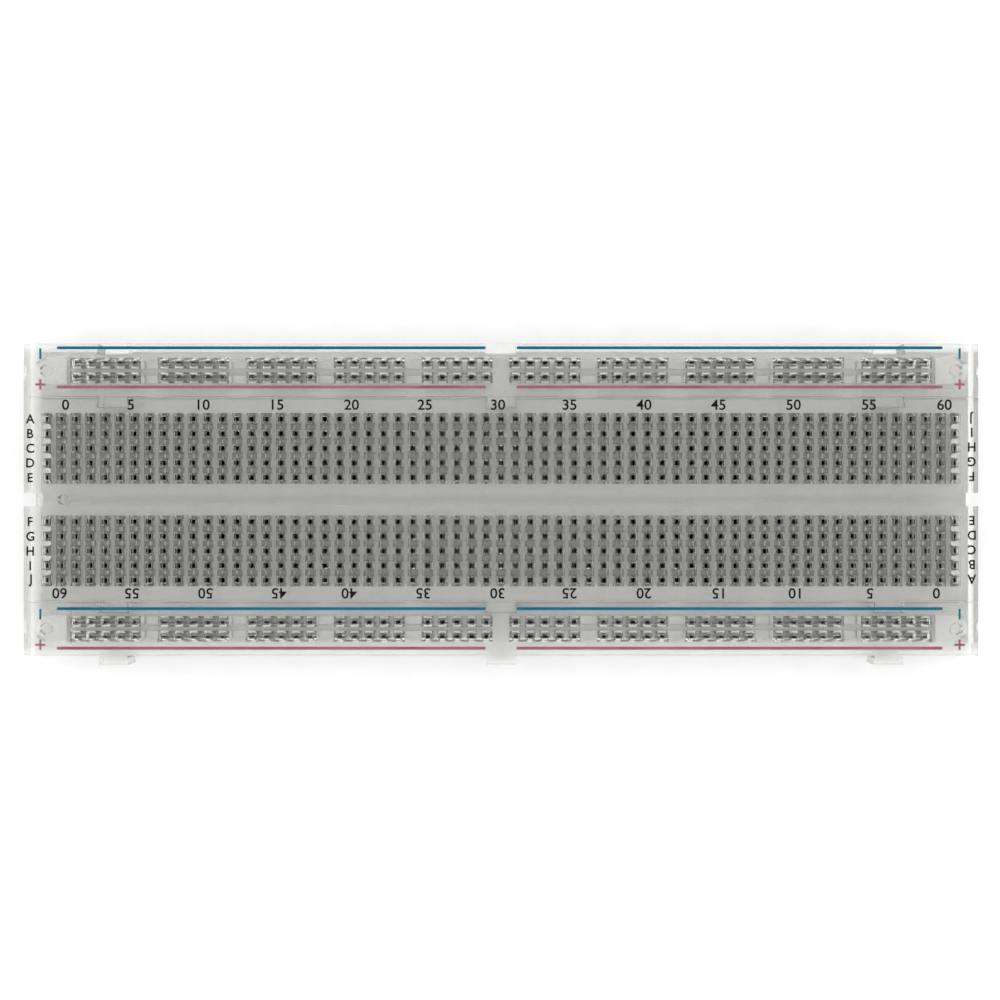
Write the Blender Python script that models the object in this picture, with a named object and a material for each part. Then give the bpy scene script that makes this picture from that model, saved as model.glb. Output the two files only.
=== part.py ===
"""Solderless breadboard with 830 contacts, in clear plastic.

Metres, +Z up. The origin is under the middle of the terminal strip, on the surface
that the board lies on. +X runs along the column numbers and +Y towards the upper bus
strip. Lengths below are in millimetres, and MM turns them into metres.
"""
import math

import bmesh
import bpy
from mathutils import Matrix, Vector

MM = 0.001

# The contact grid
PITCH = 2.54
COLUMNS = 63
CONTACTS = 5                      # in one terminal clip, and in one group of a bus rail
BANK_CENTRE = 3.5 * PITCH         # rows A to E lie about +Y, rows F to J about -Y
RAIL_CENTRE = 0.5 * PITCH         # a bus strip's two rails lie either side of its centre
GROUP_STARTS = (2, 8, 14, 20, 26) # first column of each group, counted from the strip's end
HOLE = 1.05

# The three housings
LENGTH = 165.1
TERMINAL_WIDTH = 35.5
BUS_WIDTH = 9.2
SEAM = 0.05
BUS_CENTRE = TERMINAL_WIDTH / 2 + SEAM + BUS_WIDTH / 2
BOTTOM = 1.05
TOP = 9.55
ROOF = 1.5                        # plastic above a contact cell
OVERCUT = 1.0                     # how far a cutter runs past the face it opens

# Contact cells and clips
CLIPS_PER_CELL = 3
CELL_WALL = 0.66
CELL_LENGTH = 12.2
CLIP_LENGTH = 11.9
CLIP_BOTTOM = 1.3
CLIP_TOP = 7.75
SHEET = 0.2
FOOT_HALF_WIDTH = 0.85
PINCH_HEIGHT = 6.0
PINCH_HALF_GAP = 0.12
LIP_HALF_GAP = 0.6
WEB_WIDTH = 1.0
TROUGH_WIDTH = 1.88
TROUGH_CLEARANCE = 0.2
GROUP_OVERHANG = 1.34             # leaf beyond the centre of a group's last contact
STRAP_HALF_WIDTH = 0.65

# Dovetails: a tab on each -Y edge drops into the next strip's slot from below
DOVETAIL_CENTRES = (-67.3, 0.0, 67.3)
TAB_ROOT_HALF = 2.35
TAB_END_HALF = 2.65
TAB_DEPTH = 1.7
TAB_ROOTED = 0.5
TAB_TOP = 8.0
TAB_BOTTOM = 1.25
DOVETAIL_GAP = 0.15

# Centre channel, end notches and screw holes
CHANNEL_HALF_WIDTH = 1.15
CHANNEL_FLOOR = 3.55
NOTCH_HALF_WIDTH = 1.05
NOTCH_DEPTH = 0.8
CHANNEL_SCREW_X = -77.1
CHANNEL_SCREW_RADIUS = 0.94
BUS_SCREW_X = 78.74
BUS_SCREW_RADIUS = 1.06
POCKET_INNER_X = 75.4
POCKET_LOW_RADIUS = 3.1
POCKET_LOW_TOP = 4.5
POCKET_HIGH_RADIUS = 2.3
POCKET_HIGH_TOP = 7.55

# Adhesive foam and its release liner, trimmed a little short of the housings
LINER_THICKNESS = 0.15
FOAM_BOTTOM = 0.2
FOAM_TOP = 1.0
PAD_LEFT = -81.0
PAD_RIGHT = 82.2
PAD_BACK = 26.05
PAD_FRONT = -25.2
PAD_INSET = 0.05

CLEAR_PLASTIC = ("clear_plastic", (0.72, 0.74, 0.71), 0.12, 0.0)
SPRING_METAL = ("spring_metal", (0.56, 0.55, 0.52), 0.3, 1.0)
FOAM_GREY = ("foam_grey", (0.47, 0.47, 0.45), 0.9, 0.0)
LINER_PAPER = ("liner_paper", (0.85, 0.84, 0.8), 0.6, 0.0)


def clear_scene():
    """Start from an empty scene."""
    for thing in list(bpy.data.objects):
        bpy.data.objects.remove(thing, do_unlink=True)


def new_collection(name):
    """A collection linked to the scene."""
    collection = bpy.data.collections.new(name)
    bpy.context.scene.collection.children.link(collection)
    return collection


def make_material(name, colour, roughness, metallic):
    """A plain Principled material."""
    material = bpy.data.materials.new(name)
    material.use_nodes = True
    shader = material.node_tree.nodes["Principled BSDF"]
    shader.inputs["Base Color"].default_value = (*colour, 1.0)
    shader.inputs["Roughness"].default_value = roughness
    shader.inputs["Metallic"].default_value = metallic
    return material


def column_x(column):
    """The x of a column of contacts, counted from 0 at the left."""
    return (column - (COLUMNS - 1) / 2) * PITCH


def box_mesh(name, boxes):
    """One mesh of separate boxes, each given by its low and high corners."""
    builder = bmesh.new()
    for low, high in boxes:
        low = Vector(low) * MM
        high = Vector(high) * MM
        place = Matrix.Translation((low + high) / 2) @ Matrix.Diagonal((*(high - low), 1.0))
        bmesh.ops.create_cube(builder, size=1.0, matrix=place)
    mesh = bpy.data.meshes.new(name)
    builder.to_mesh(mesh)
    builder.free()
    return mesh


def cylinder_mesh(name, centres, radius, bottom, top):
    """One mesh of upright cylinders of the same radius."""
    builder = bmesh.new()
    for x, y in centres:
        middle = Vector((x, y, (bottom + top) / 2)) * MM
        bmesh.ops.create_cone(builder, cap_ends=True, segments=16, radius1=radius * MM,
                              radius2=radius * MM, depth=(top - bottom) * MM,
                              matrix=Matrix.Translation(middle))
    mesh = bpy.data.meshes.new(name)
    builder.to_mesh(mesh)
    builder.free()
    return mesh


def outline_mesh(name, outlines, low, high, turn=Matrix()):
    """Flat outlines made solid from low to high along their own normal, then turned."""
    curve = bpy.data.curves.new(name, "CURVE")
    curve.dimensions = "2D"
    curve.fill_mode = "BOTH"
    curve.extrude = (high - low) / 2 * MM
    for points in outlines:
        spline = curve.splines.new("POLY")
        spline.points.add(len(points) - 1)
        for point, (x, y) in zip(spline.points, points):
            point.co = (x * MM, y * MM, 0.0, 1.0)
        spline.use_cyclic_u = True
    holder = bpy.data.objects.new(name, curve)
    bpy.context.scene.collection.objects.link(holder)
    solid = holder.evaluated_get(bpy.context.evaluated_depsgraph_get())
    mesh = bpy.data.meshes.new_from_object(solid)
    bpy.data.objects.remove(holder)
    bpy.data.curves.remove(curve)
    builder = bmesh.new()
    builder.from_mesh(mesh)
    bmesh.ops.remove_doubles(builder, verts=builder.verts, dist=0.001 * MM)
    bmesh.ops.translate(builder, verts=builder.verts, vec=(0, 0, (low + high) / 2 * MM))
    bmesh.ops.transform(builder, verts=builder.verts, matrix=turn)
    bmesh.ops.recalc_face_normals(builder, faces=builder.faces)
    builder.to_mesh(mesh)
    builder.free()
    return mesh


def place(mesh, name, material, collection, location=(0, 0, 0)):
    """An object with one material, in the collection of parts."""
    part = bpy.data.objects.new(name, mesh)
    if not mesh.materials:
        mesh.materials.append(material)
    part.location = Vector(location) * MM
    collection.objects.link(part)
    return part


def combine(part, mesh, operation, tools):
    """Cut a mesh out of a part, or join it on, with a Boolean that stays on the part."""
    tool = bpy.data.objects.new(mesh.name, mesh)
    tool.location = part.location
    tool.hide_render = True
    tool.display_type = "WIRE"
    tools.objects.link(tool)
    modifier = part.modifiers.new(mesh.name, "BOOLEAN")
    modifier.operation = operation
    modifier.solver = "EXACT"
    modifier.object = tool
    return tool


def dovetail_outline(centre_x, edge_y, inner_half, outer_half, near_y, far_y):
    """A dovetail seen from above, between near_y and far_y from the edge it stands on."""
    return ((centre_x - inner_half, edge_y + near_y),
            (centre_x + inner_half, edge_y + near_y),
            (centre_x + outer_half, edge_y + far_y),
            (centre_x - outer_half, edge_y + far_y))


def tab_outline(x, edge_y):
    """A tab seen from above, rooted a little behind the -Y edge that it stands on."""
    flare = (TAB_END_HALF - TAB_ROOT_HALF) / TAB_DEPTH
    root_half = TAB_ROOT_HALF - flare * TAB_ROOTED
    return dovetail_outline(x, edge_y, root_half, TAB_END_HALF, TAB_ROOTED, -TAB_DEPTH)


def slot_outline(x, edge_y):
    """A slot seen from above: a tab with clearance all round, run out past the +Y edge."""
    flare = (TAB_END_HALF - TAB_ROOT_HALF) / TAB_DEPTH
    mouth_half = TAB_ROOT_HALF + DOVETAIL_GAP - flare * OVERCUT
    end_half = TAB_END_HALF + DOVETAIL_GAP + flare * DOVETAIL_GAP
    return dovetail_outline(x, edge_y, mouth_half, end_half, OVERCUT, -TAB_DEPTH - DOVETAIL_GAP)


def add_dovetails(part, name, width, tools):
    """Three tabs on a strip's -Y edge, and three slots, open below, in its +Y edge."""
    tabs = [tab_outline(x, -width / 2) for x in DOVETAIL_CENTRES]
    combine(part, outline_mesh(name + "_tabs", tabs, TAB_BOTTOM, TAB_TOP), "UNION", tools)
    slots = [slot_outline(x, width / 2) for x in DOVETAIL_CENTRES]
    cut = outline_mesh(name + "_slots", slots, BOTTOM - OVERCUT, TAB_TOP + DOVETAIL_GAP)
    combine(part, cut, "DIFFERENCE", tools)


def make_terminal_housing(plastic, parts, tools):
    """The wide strip: cells open below, contact openings above and the centre channel."""
    half = LENGTH / 2
    body = box_mesh("terminal_housing", [((-half, -TERMINAL_WIDTH / 2, BOTTOM),
                                          (half, TERMINAL_WIDTH / 2, TOP))])
    housing = place(body, "terminal_housing", plastic, parts)
    add_dovetails(housing, "terminal", TERMINAL_WIDTH, tools)
    cells = []
    openings = []
    cell_half = (CLIPS_PER_CELL * PITCH - CELL_WALL) / 2
    opening_half = ((CONTACTS - 1) * PITCH + HOLE) / 2
    for side in (-1, 1):
        bank_y = side * BANK_CENTRE
        for first in range(0, COLUMNS, CLIPS_PER_CELL):
            x = column_x(first + (CLIPS_PER_CELL - 1) / 2)
            cells.append(((x - cell_half, bank_y - CELL_LENGTH / 2, BOTTOM - OVERCUT),
                          (x + cell_half, bank_y + CELL_LENGTH / 2, TOP - ROOF)))
        for column in range(COLUMNS):
            x = column_x(column)
            openings.append(((x - HOLE / 2, bank_y - opening_half, TOP - ROOF - OVERCUT),
                             (x + HOLE / 2, bank_y + opening_half, TOP + OVERCUT)))
    combine(housing, box_mesh("terminal_cells", cells), "DIFFERENCE", tools)
    combine(housing, box_mesh("terminal_openings", openings), "DIFFERENCE", tools)
    channel = box_mesh("channel", [((-half - OVERCUT, -CHANNEL_HALF_WIDTH, CHANNEL_FLOOR),
                                    (half + OVERCUT, CHANNEL_HALF_WIDTH, TOP + OVERCUT))])
    combine(housing, channel, "DIFFERENCE", tools)
    notches = [((side * half - NOTCH_DEPTH, -NOTCH_HALF_WIDTH, BOTTOM - OVERCUT),
                (side * half + NOTCH_DEPTH, NOTCH_HALF_WIDTH, CHANNEL_FLOOR + OVERCUT))
               for side in (-1, 1)]
    combine(housing, box_mesh("end_notches", notches), "DIFFERENCE", tools)
    screw = cylinder_mesh("channel_screw_hole", [(CHANNEL_SCREW_X, 0)], CHANNEL_SCREW_RADIUS,
                          BOTTOM - OVERCUT, CHANNEL_FLOOR + OVERCUT)
    combine(housing, screw, "DIFFERENCE", tools)


def pocket_outline(side, radius):
    """A U seen from above: round about the screw hole and square towards the contacts."""
    steps = 10
    turn = [math.pi / 2 + math.pi * step / steps for step in range(steps + 1)]
    arch = [(-BUS_SCREW_X + radius * math.cos(a), radius * math.sin(a)) for a in turn]
    outline = arch + [(-POCKET_INNER_X, -radius), (-POCKET_INNER_X, radius)]
    return [(-side * x, y) for x, y in outline]


def rail_halves():
    """The first and last columns of a rail's left and right halves."""
    first = GROUP_STARTS[0]
    last = GROUP_STARTS[-1] + CONTACTS - 1
    return ((first, last), (COLUMNS - 1 - last, COLUMNS - 1 - first))


def group_starts():
    """The first columns of all groups along a rail, left half then right half."""
    shift = rail_halves()[1][0] - GROUP_STARTS[0]
    return GROUP_STARTS + tuple(start + shift for start in GROUP_STARTS)


def make_bus_housing(name, centre_y, plastic, parts, tools):
    """A narrow strip: four rail troughs open below, contact openings and end pockets."""
    half = LENGTH / 2
    body = box_mesh(name, [((-half, -BUS_WIDTH / 2, BOTTOM), (half, BUS_WIDTH / 2, TOP))])
    housing = place(body, name, plastic, parts, (0, centre_y, 0))
    add_dovetails(housing, name, BUS_WIDTH, tools)
    troughs = []
    openings = []
    for rail_y in (-RAIL_CENTRE, RAIL_CENTRE):
        for first, last in rail_halves():
            reach = GROUP_OVERHANG + TROUGH_CLEARANCE
            troughs.append(((column_x(first) - reach, rail_y - TROUGH_WIDTH / 2, BOTTOM - OVERCUT),
                            (column_x(last) + reach, rail_y + TROUGH_WIDTH / 2, TOP - ROOF)))
        for start in group_starts():
            openings.append(((column_x(start) - HOLE / 2, rail_y - HOLE / 2, TOP - ROOF - OVERCUT),
                             (column_x(start + CONTACTS - 1) + HOLE / 2, rail_y + HOLE / 2,
                              TOP + OVERCUT)))
    combine(housing, box_mesh(name + "_troughs", troughs), "DIFFERENCE", tools)
    combine(housing, box_mesh(name + "_openings", openings), "DIFFERENCE", tools)
    wide = [pocket_outline(side, POCKET_LOW_RADIUS) for side in (-1, 1)]
    narrow = [pocket_outline(side, POCKET_HIGH_RADIUS) for side in (-1, 1)]
    low = outline_mesh(name + "_wide_pockets", wide, BOTTOM - OVERCUT, POCKET_LOW_TOP)
    high = outline_mesh(name + "_narrow_pockets", narrow, BOTTOM, POCKET_HIGH_TOP)
    combine(housing, low, "DIFFERENCE", tools)
    combine(housing, high, "DIFFERENCE", tools)
    screws = cylinder_mesh(name + "_screw_holes", [(-BUS_SCREW_X, 0), (BUS_SCREW_X, 0)],
                           BUS_SCREW_RADIUS, POCKET_HIGH_TOP - OVERCUT, TOP + OVERCUT)
    combine(housing, screws, "DIFFERENCE", tools)


def clip_outline(offset):
    """The end view of a clip: a flat foot and two leaves that pinch, then flare."""
    inner_foot = FOOT_HALF_WIDTH - SHEET - 0.03
    right = ((FOOT_HALF_WIDTH, CLIP_BOTTOM),
             (PINCH_HALF_GAP + SHEET, PINCH_HEIGHT),
             (LIP_HALF_GAP + SHEET, CLIP_TOP),
             (LIP_HALF_GAP, CLIP_TOP),
             (PINCH_HALF_GAP, PINCH_HEIGHT),
             (inner_foot, CLIP_BOTTOM + SHEET))
    left = tuple((-x, z) for x, z in reversed(right))
    return [(offset + x, z) for x, z in right + left]


def make_terminal_clips(metal, parts, tools):
    """Sets of clips, each set in one cell, held together by a thin web at the foot."""
    stand_up = Matrix.Rotation(math.pi / 2, 4, "X")
    offsets = [(clip - (CLIPS_PER_CELL - 1) / 2) * PITCH for clip in range(CLIPS_PER_CELL)]
    outlines = [clip_outline(offset) for offset in offsets]
    mesh = outline_mesh("clip_set", outlines, -CLIP_LENGTH / 2, CLIP_LENGTH / 2, stand_up)
    pattern = place(mesh, "clip_set", metal, parts)
    web_inset = 0.02
    web = box_mesh("clip_web", [((offsets[0], -WEB_WIDTH / 2, CLIP_BOTTOM + web_inset),
                                 (offsets[-1], WEB_WIDTH / 2, CLIP_BOTTOM + SHEET - web_inset))])
    combine(pattern, web, "UNION", tools)
    joined = bpy.data.meshes.new_from_object(
        pattern.evaluated_get(bpy.context.evaluated_depsgraph_get()))
    bpy.data.objects.remove(pattern)
    for rows, side in (("ae", 1), ("fj", -1)):
        for first in range(0, COLUMNS, CLIPS_PER_CELL):
            last = first + CLIPS_PER_CELL - 1
            x = column_x((first + last) / 2)
            place(joined, f"clips_{rows}_columns_{first:02d}_{last:02d}", metal, parts,
                  (x, side * BANK_CENTRE, 0))


def make_bus_clips(metal, parts, tools):
    """Eight long clips: two rails in each bus strip, each rail in two halves."""
    along_x = Matrix(((0, 0, 1, 0), (1, 0, 0, 0), (0, 1, 0, 0), (0, 0, 0, 1)))
    first, last = rail_halves()[0]
    length = (last - first) * PITCH + 2 * GROUP_OVERHANG
    mesh = outline_mesh("rail_clip", [clip_outline(0)], -length / 2, length / 2, along_x)
    pattern = place(mesh, "rail_clip", metal, parts)
    strap_top = CLIP_BOTTOM + SHEET - 0.02
    clear = 2 * FOOT_HALF_WIDTH
    arch = ((-clear, CLIP_BOTTOM - OVERCUT), (-STRAP_HALF_WIDTH, CLIP_BOTTOM - OVERCUT),
            (-STRAP_HALF_WIDTH, strap_top), (STRAP_HALF_WIDTH, strap_top),
            (STRAP_HALF_WIDTH, CLIP_BOTTOM - OVERCUT), (clear, CLIP_BOTTOM - OVERCUT),
            (clear, CLIP_TOP + OVERCUT), (-clear, CLIP_TOP + OVERCUT))
    middle = (column_x(first) + column_x(last)) / 2
    for index, start in enumerate(GROUP_STARTS[1:]):
        high = column_x(start) - GROUP_OVERHANG - middle
        low = column_x(start - 2) + GROUP_OVERHANG - middle
        gap = outline_mesh(f"rail_gap_{index}", [arch], low, high, along_x)
        combine(pattern, gap, "DIFFERENCE", tools)
    cut = bpy.data.meshes.new_from_object(
        pattern.evaluated_get(bpy.context.evaluated_depsgraph_get()))
    bpy.data.objects.remove(pattern)
    for strip, centre_y in (("upper", BUS_CENTRE), ("lower", -BUS_CENTRE)):
        for sign, rail_y in (("minus", RAIL_CENTRE), ("plus", -RAIL_CENTRE)):
            for half, centre_x in (("left", middle), ("right", -middle)):
                place(cut, f"{strip}_bus_{sign}_clip_{half}", metal, parts,
                      (centre_x, centre_y + rail_y, 0))


def pad_outline(front, back, tongues, notches):
    """A pad seen from above. Tongues run on under the strip's own tabs, and notches clear
    the tabs of the strip behind, so that the strips still lift apart."""
    outline = [(PAD_LEFT, front)]
    for x in DOVETAIL_CENTRES if tongues else ():
        far_right, far_left = tab_outline(x, front - PAD_INSET)[2:]
        outline += [(x - TAB_ROOT_HALF, front), far_left, far_right, (x + TAB_ROOT_HALF, front)]
    outline += [(PAD_RIGHT, front), (PAD_RIGHT, back)]
    mouth_half = TAB_ROOT_HALF + DOVETAIL_GAP
    for x in reversed(DOVETAIL_CENTRES) if notches else ():
        far_right, far_left = slot_outline(x, back + PAD_INSET)[2:]
        outline += [(x + mouth_half, back), far_right, far_left, (x - mouth_half, back)]
    return outline + [(PAD_LEFT, back)]


def make_pads(foam, paper, parts):
    """Adhesive foam and its release liner under each strip."""
    edge = TERMINAL_WIDTH / 2
    pads = (("upper_bus", pad_outline(edge + SEAM + PAD_INSET, PAD_BACK, True, False)),
            ("terminal", pad_outline(-edge + PAD_INSET, edge - PAD_INSET, True, True)),
            ("lower_bus", pad_outline(PAD_FRONT, -edge - SEAM - PAD_INSET, False, True)))
    for strip, outline in pads:
        pad = outline_mesh(strip + "_foam", [outline], FOAM_BOTTOM, FOAM_TOP)
        place(pad, strip + "_foam", foam, parts)
        liner = outline_mesh(strip + "_liner", [outline], 0.0, LINER_THICKNESS)
        place(liner, strip + "_liner", paper, parts)


def main():
    """Build the breadboard."""
    clear_scene()
    parts = new_collection("solderless_breadboard")
    tools = new_collection("cutters")
    plastic = make_material(*CLEAR_PLASTIC)
    metal = make_material(*SPRING_METAL)
    foam = make_material(*FOAM_GREY)
    paper = make_material(*LINER_PAPER)
    make_terminal_housing(plastic, parts, tools)
    make_bus_housing("upper_bus_housing", BUS_CENTRE, plastic, parts, tools)
    make_bus_housing("lower_bus_housing", -BUS_CENTRE, plastic, parts, tools)
    make_terminal_clips(metal, parts, tools)
    make_bus_clips(metal, parts, tools)
    make_pads(foam, paper, parts)


main()
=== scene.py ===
# %% [markdown]
# # A clear solderless breadboard
#
# The board is three strips of clear moulded plastic, a wide terminal strip between two
# narrow bus strips, joined by dovetails along their long edges. Sheet metal clips sit in
# cells inside the plastic, and each strip is closed below by a white foam pad with a paper
# liner. The look comes from depth: the eye goes through holes, walls, metal and foam.
# So every piece is made as the solid it really is, and the plastic is left to refract.

# %% Load the fixed frame
import math

import bpy
import numpy as np
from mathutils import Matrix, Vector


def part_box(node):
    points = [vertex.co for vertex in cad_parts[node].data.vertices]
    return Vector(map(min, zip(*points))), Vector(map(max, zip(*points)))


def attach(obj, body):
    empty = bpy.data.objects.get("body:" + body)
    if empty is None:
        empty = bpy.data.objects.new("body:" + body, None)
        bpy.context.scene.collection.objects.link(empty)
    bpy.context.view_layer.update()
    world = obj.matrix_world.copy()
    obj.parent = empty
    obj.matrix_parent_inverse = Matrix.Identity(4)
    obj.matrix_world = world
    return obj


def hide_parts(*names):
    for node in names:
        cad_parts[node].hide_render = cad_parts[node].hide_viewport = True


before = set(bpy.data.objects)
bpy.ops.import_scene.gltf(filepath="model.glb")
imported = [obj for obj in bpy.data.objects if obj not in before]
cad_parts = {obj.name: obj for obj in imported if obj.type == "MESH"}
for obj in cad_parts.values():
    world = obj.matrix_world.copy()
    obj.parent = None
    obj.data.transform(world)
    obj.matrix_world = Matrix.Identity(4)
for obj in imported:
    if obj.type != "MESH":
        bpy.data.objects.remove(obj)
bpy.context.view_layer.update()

MM = 0.001

# %% [markdown]
# ## Sizes
#
# The frame already holds the real sizes, so the strips' edges are measured from it. What
# the frame doesn't say is kept here in millimetres: the contact grid, and the shape of
# the cells that hold the clips.

# %% Measure the frame and name the grid
PITCH = 2.54
COLUMNS = 63
ROWS = 5
HOLE_HALF = 0.4
MOUTH_HALF = 0.5
MOUTH_DEPTH = 0.3
COLLAR_HALF = 0.84
CELL_HALF = 0.94
CELL_OVERHANG = 1.06
GROUP = 5
GROUPS_IN_HALF = 5
FIRST_GROUP = 2


def box_mm(node):
    """A CAD node's lowest and highest corners, in millimetres."""
    return [np.array(corner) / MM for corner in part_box(node)]


terminal_low, terminal_high = box_mm("terminal_housing")
upper_high = box_mm("upper_bus_housing")[1]
lower_low, lower_high = box_mm("lower_bus_housing")
HALF_LENGTH = terminal_high[0]
BOTTOM = terminal_low[2]
TOP = terminal_high[2]
TERMINAL_HALF = terminal_high[1]
TAB_DEPTH = -TERMINAL_HALF - terminal_low[1]
BUS_HALF = (lower_high[1] - lower_low[1] - TAB_DEPTH) / 2
BUS_CENTRE = upper_high[1] - BUS_HALF
column_x = (np.arange(COLUMNS) - (COLUMNS - 1) / 2) * PITCH
row_y = (np.arange(ROWS) - (ROWS - 1) / 2) * PITCH
TOLERANCE = 0.001
BANK_CENTRE = 3.5 * PITCH
RAIL_CENTRE = 0.5 * PITCH
print("terminal strip", 2 * TERMINAL_HALF, "mm wide, bus strips", round(2 * BUS_HALF, 2), "mm")

# %% [markdown]
# ## Camera
#
# The board is seen from straight above, from about twice its own length away, so that
# the walls of the outer holes show on one side. The lens follows from the width in view.

# %% Place the camera
VIEW_DISTANCE = 350.0
VIEW_WIDTH = 172.92
VIEW_CENTRE = (-0.17, -0.06)
SENSOR = 36.0
NEAR_AND_FAR = (0.01, 10.0)

camera_data = bpy.data.cameras.new("camera")
camera_data.sensor_width = SENSOR
camera_data.lens = SENSOR * VIEW_DISTANCE / VIEW_WIDTH
camera_data.clip_start, camera_data.clip_end = NEAR_AND_FAR
camera = bpy.data.objects.new("camera", camera_data)
camera.location = (VIEW_CENTRE[0] * MM, VIEW_CENTRE[1] * MM, (TOP + VIEW_DISTANCE) * MM)
bpy.context.scene.collection.objects.link(camera)
bpy.context.scene.camera = camera
print("lens", round(camera_data.lens, 1), "mm")

# %% [markdown]
# ## Materials: four effects that the pieces share
#
# Real surfaces are never one flat value. Four node groups give the variation. Mottle
# drifts a colour between two values over a few millimetres. Grain is a fine bump with a
# matching roughness. Pores gives the round cells of cut foam, with painted shade in each
# pit. The fourth colours a clip by its height, with painted shade on the leaves and a
# painted highlight at the tips. They only put out colours, values and normals, and each
# material keeps its own Principled shader.

# %% Helpers for node groups
def new_group(name, inputs, outputs):
    """An empty shader group with named sockets, its input and its output node."""
    group = bpy.data.node_groups.new(name, "ShaderNodeTree")
    for socket, kind, value in inputs:
        made = group.interface.new_socket(socket, in_out="INPUT", socket_type=kind)
        made.default_value = value
    for socket, kind in outputs:
        group.interface.new_socket(socket, in_out="OUTPUT", socket_type=kind)
    return group, group.nodes.new("NodeGroupInput"), group.nodes.new("NodeGroupOutput")


def noise_node(tree, scale, detail, stretch=(1.0, 1.0, 1.0)):
    """Noise on Object coordinates, in features of about 1 / scale metres."""
    coordinates = tree.nodes.new("ShaderNodeTexCoord")
    mapping = tree.nodes.new("ShaderNodeMapping")
    mapping.inputs["Scale"].default_value = stretch
    noise = tree.nodes.new("ShaderNodeTexNoise")
    noise.inputs["Scale"].default_value = scale
    noise.inputs["Detail"].default_value = detail
    tree.links.new(coordinates.outputs["Object"], mapping.inputs["Vector"])
    tree.links.new(mapping.outputs["Vector"], noise.inputs["Vector"])
    return noise


# %% Build the four groups
FLOAT = "NodeSocketFloat"
COLOUR = "NodeSocketColor"
VECTOR = "NodeSocketVector"
GREY = (0.5, 0.5, 0.5, 1.0)
MOTTLE_SCALE = 180.0
MOTTLE_RANGE = (0.35, 0.65)
GRAIN_SCALE = 900.0
GRAIN_STRETCH = (1.0, 0.35, 1.0)
PORE_SCALE = 4200.0
LEAF_STARTS = (1.8, 2.4)
TIP_STARTS = (6.9, 7.2)


def make_mottle():
    """Colour = first colour, moved towards the second by slow noise."""
    sockets = [("First", COLOUR, GREY), ("Second", COLOUR, GREY)]
    group, given, result = new_group("mottle", sockets, [("Colour", COLOUR)])
    noise = noise_node(group, MOTTLE_SCALE, 3.0)
    spread = group.nodes.new("ShaderNodeMapRange")
    spread.inputs["From Min"].default_value = MOTTLE_RANGE[0]
    spread.inputs["From Max"].default_value = MOTTLE_RANGE[1]
    mix = group.nodes.new("ShaderNodeMix")
    mix.data_type = "RGBA"
    group.links.new(noise.outputs["Fac"], spread.inputs["Value"])
    group.links.new(spread.outputs["Result"], mix.inputs["Factor"])
    group.links.new(given.outputs["First"], mix.inputs["A"])
    group.links.new(given.outputs["Second"], mix.inputs["B"])
    group.links.new(mix.outputs["Result"], result.inputs["Colour"])
    return group


def make_grain():
    """Roughness = low to high by fine noise, and a bump of the given height from it."""
    sockets = [("Low", FLOAT, 0.2), ("High", FLOAT, 0.4), ("Height", FLOAT, 0.00001)]
    outputs = [("Roughness", FLOAT), ("Normal", VECTOR)]
    group, given, result = new_group("grain", sockets, outputs)
    noise = noise_node(group, GRAIN_SCALE, 4.0, GRAIN_STRETCH)
    spread = group.nodes.new("ShaderNodeMapRange")
    bump = group.nodes.new("ShaderNodeBump")
    bump.inputs["Strength"].default_value = 1.0
    group.links.new(noise.outputs["Fac"], spread.inputs["Value"])
    group.links.new(given.outputs["Low"], spread.inputs["To Min"])
    group.links.new(given.outputs["High"], spread.inputs["To Max"])
    group.links.new(spread.outputs["Result"], result.inputs["Roughness"])
    group.links.new(noise.outputs["Fac"], bump.inputs["Height"])
    group.links.new(given.outputs["Height"], bump.inputs["Distance"])
    group.links.new(bump.outputs["Normal"], result.inputs["Normal"])
    return group


def make_pores():
    """Colour darkens in the middle of round cells, a painted shade in each pit, and the bump follows
    the same cells.
    """
    sockets = [("Wall", COLOUR, GREY), ("Pit", COLOUR, GREY), ("Height", FLOAT, 0.00005)]
    outputs = [("Colour", COLOUR), ("Normal", VECTOR)]
    group, given, result = new_group("pores", sockets, outputs)
    coordinates = group.nodes.new("ShaderNodeTexCoord")
    cells = group.nodes.new("ShaderNodeTexVoronoi")
    cells.inputs["Scale"].default_value = PORE_SCALE
    mix = group.nodes.new("ShaderNodeMix")
    mix.data_type = "RGBA"
    bump = group.nodes.new("ShaderNodeBump")
    bump.inputs["Strength"].default_value = 1.0
    group.links.new(coordinates.outputs["Object"], cells.inputs["Vector"])
    group.links.new(cells.outputs["Distance"], mix.inputs["Factor"])
    group.links.new(given.outputs["Pit"], mix.inputs["A"])
    group.links.new(given.outputs["Wall"], mix.inputs["B"])
    group.links.new(mix.outputs["Result"], result.inputs["Colour"])
    group.links.new(cells.outputs["Distance"], bump.inputs["Height"])
    group.links.new(given.outputs["Height"], bump.inputs["Distance"])
    group.links.new(bump.outputs["Normal"], result.inputs["Normal"])
    return group


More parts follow.
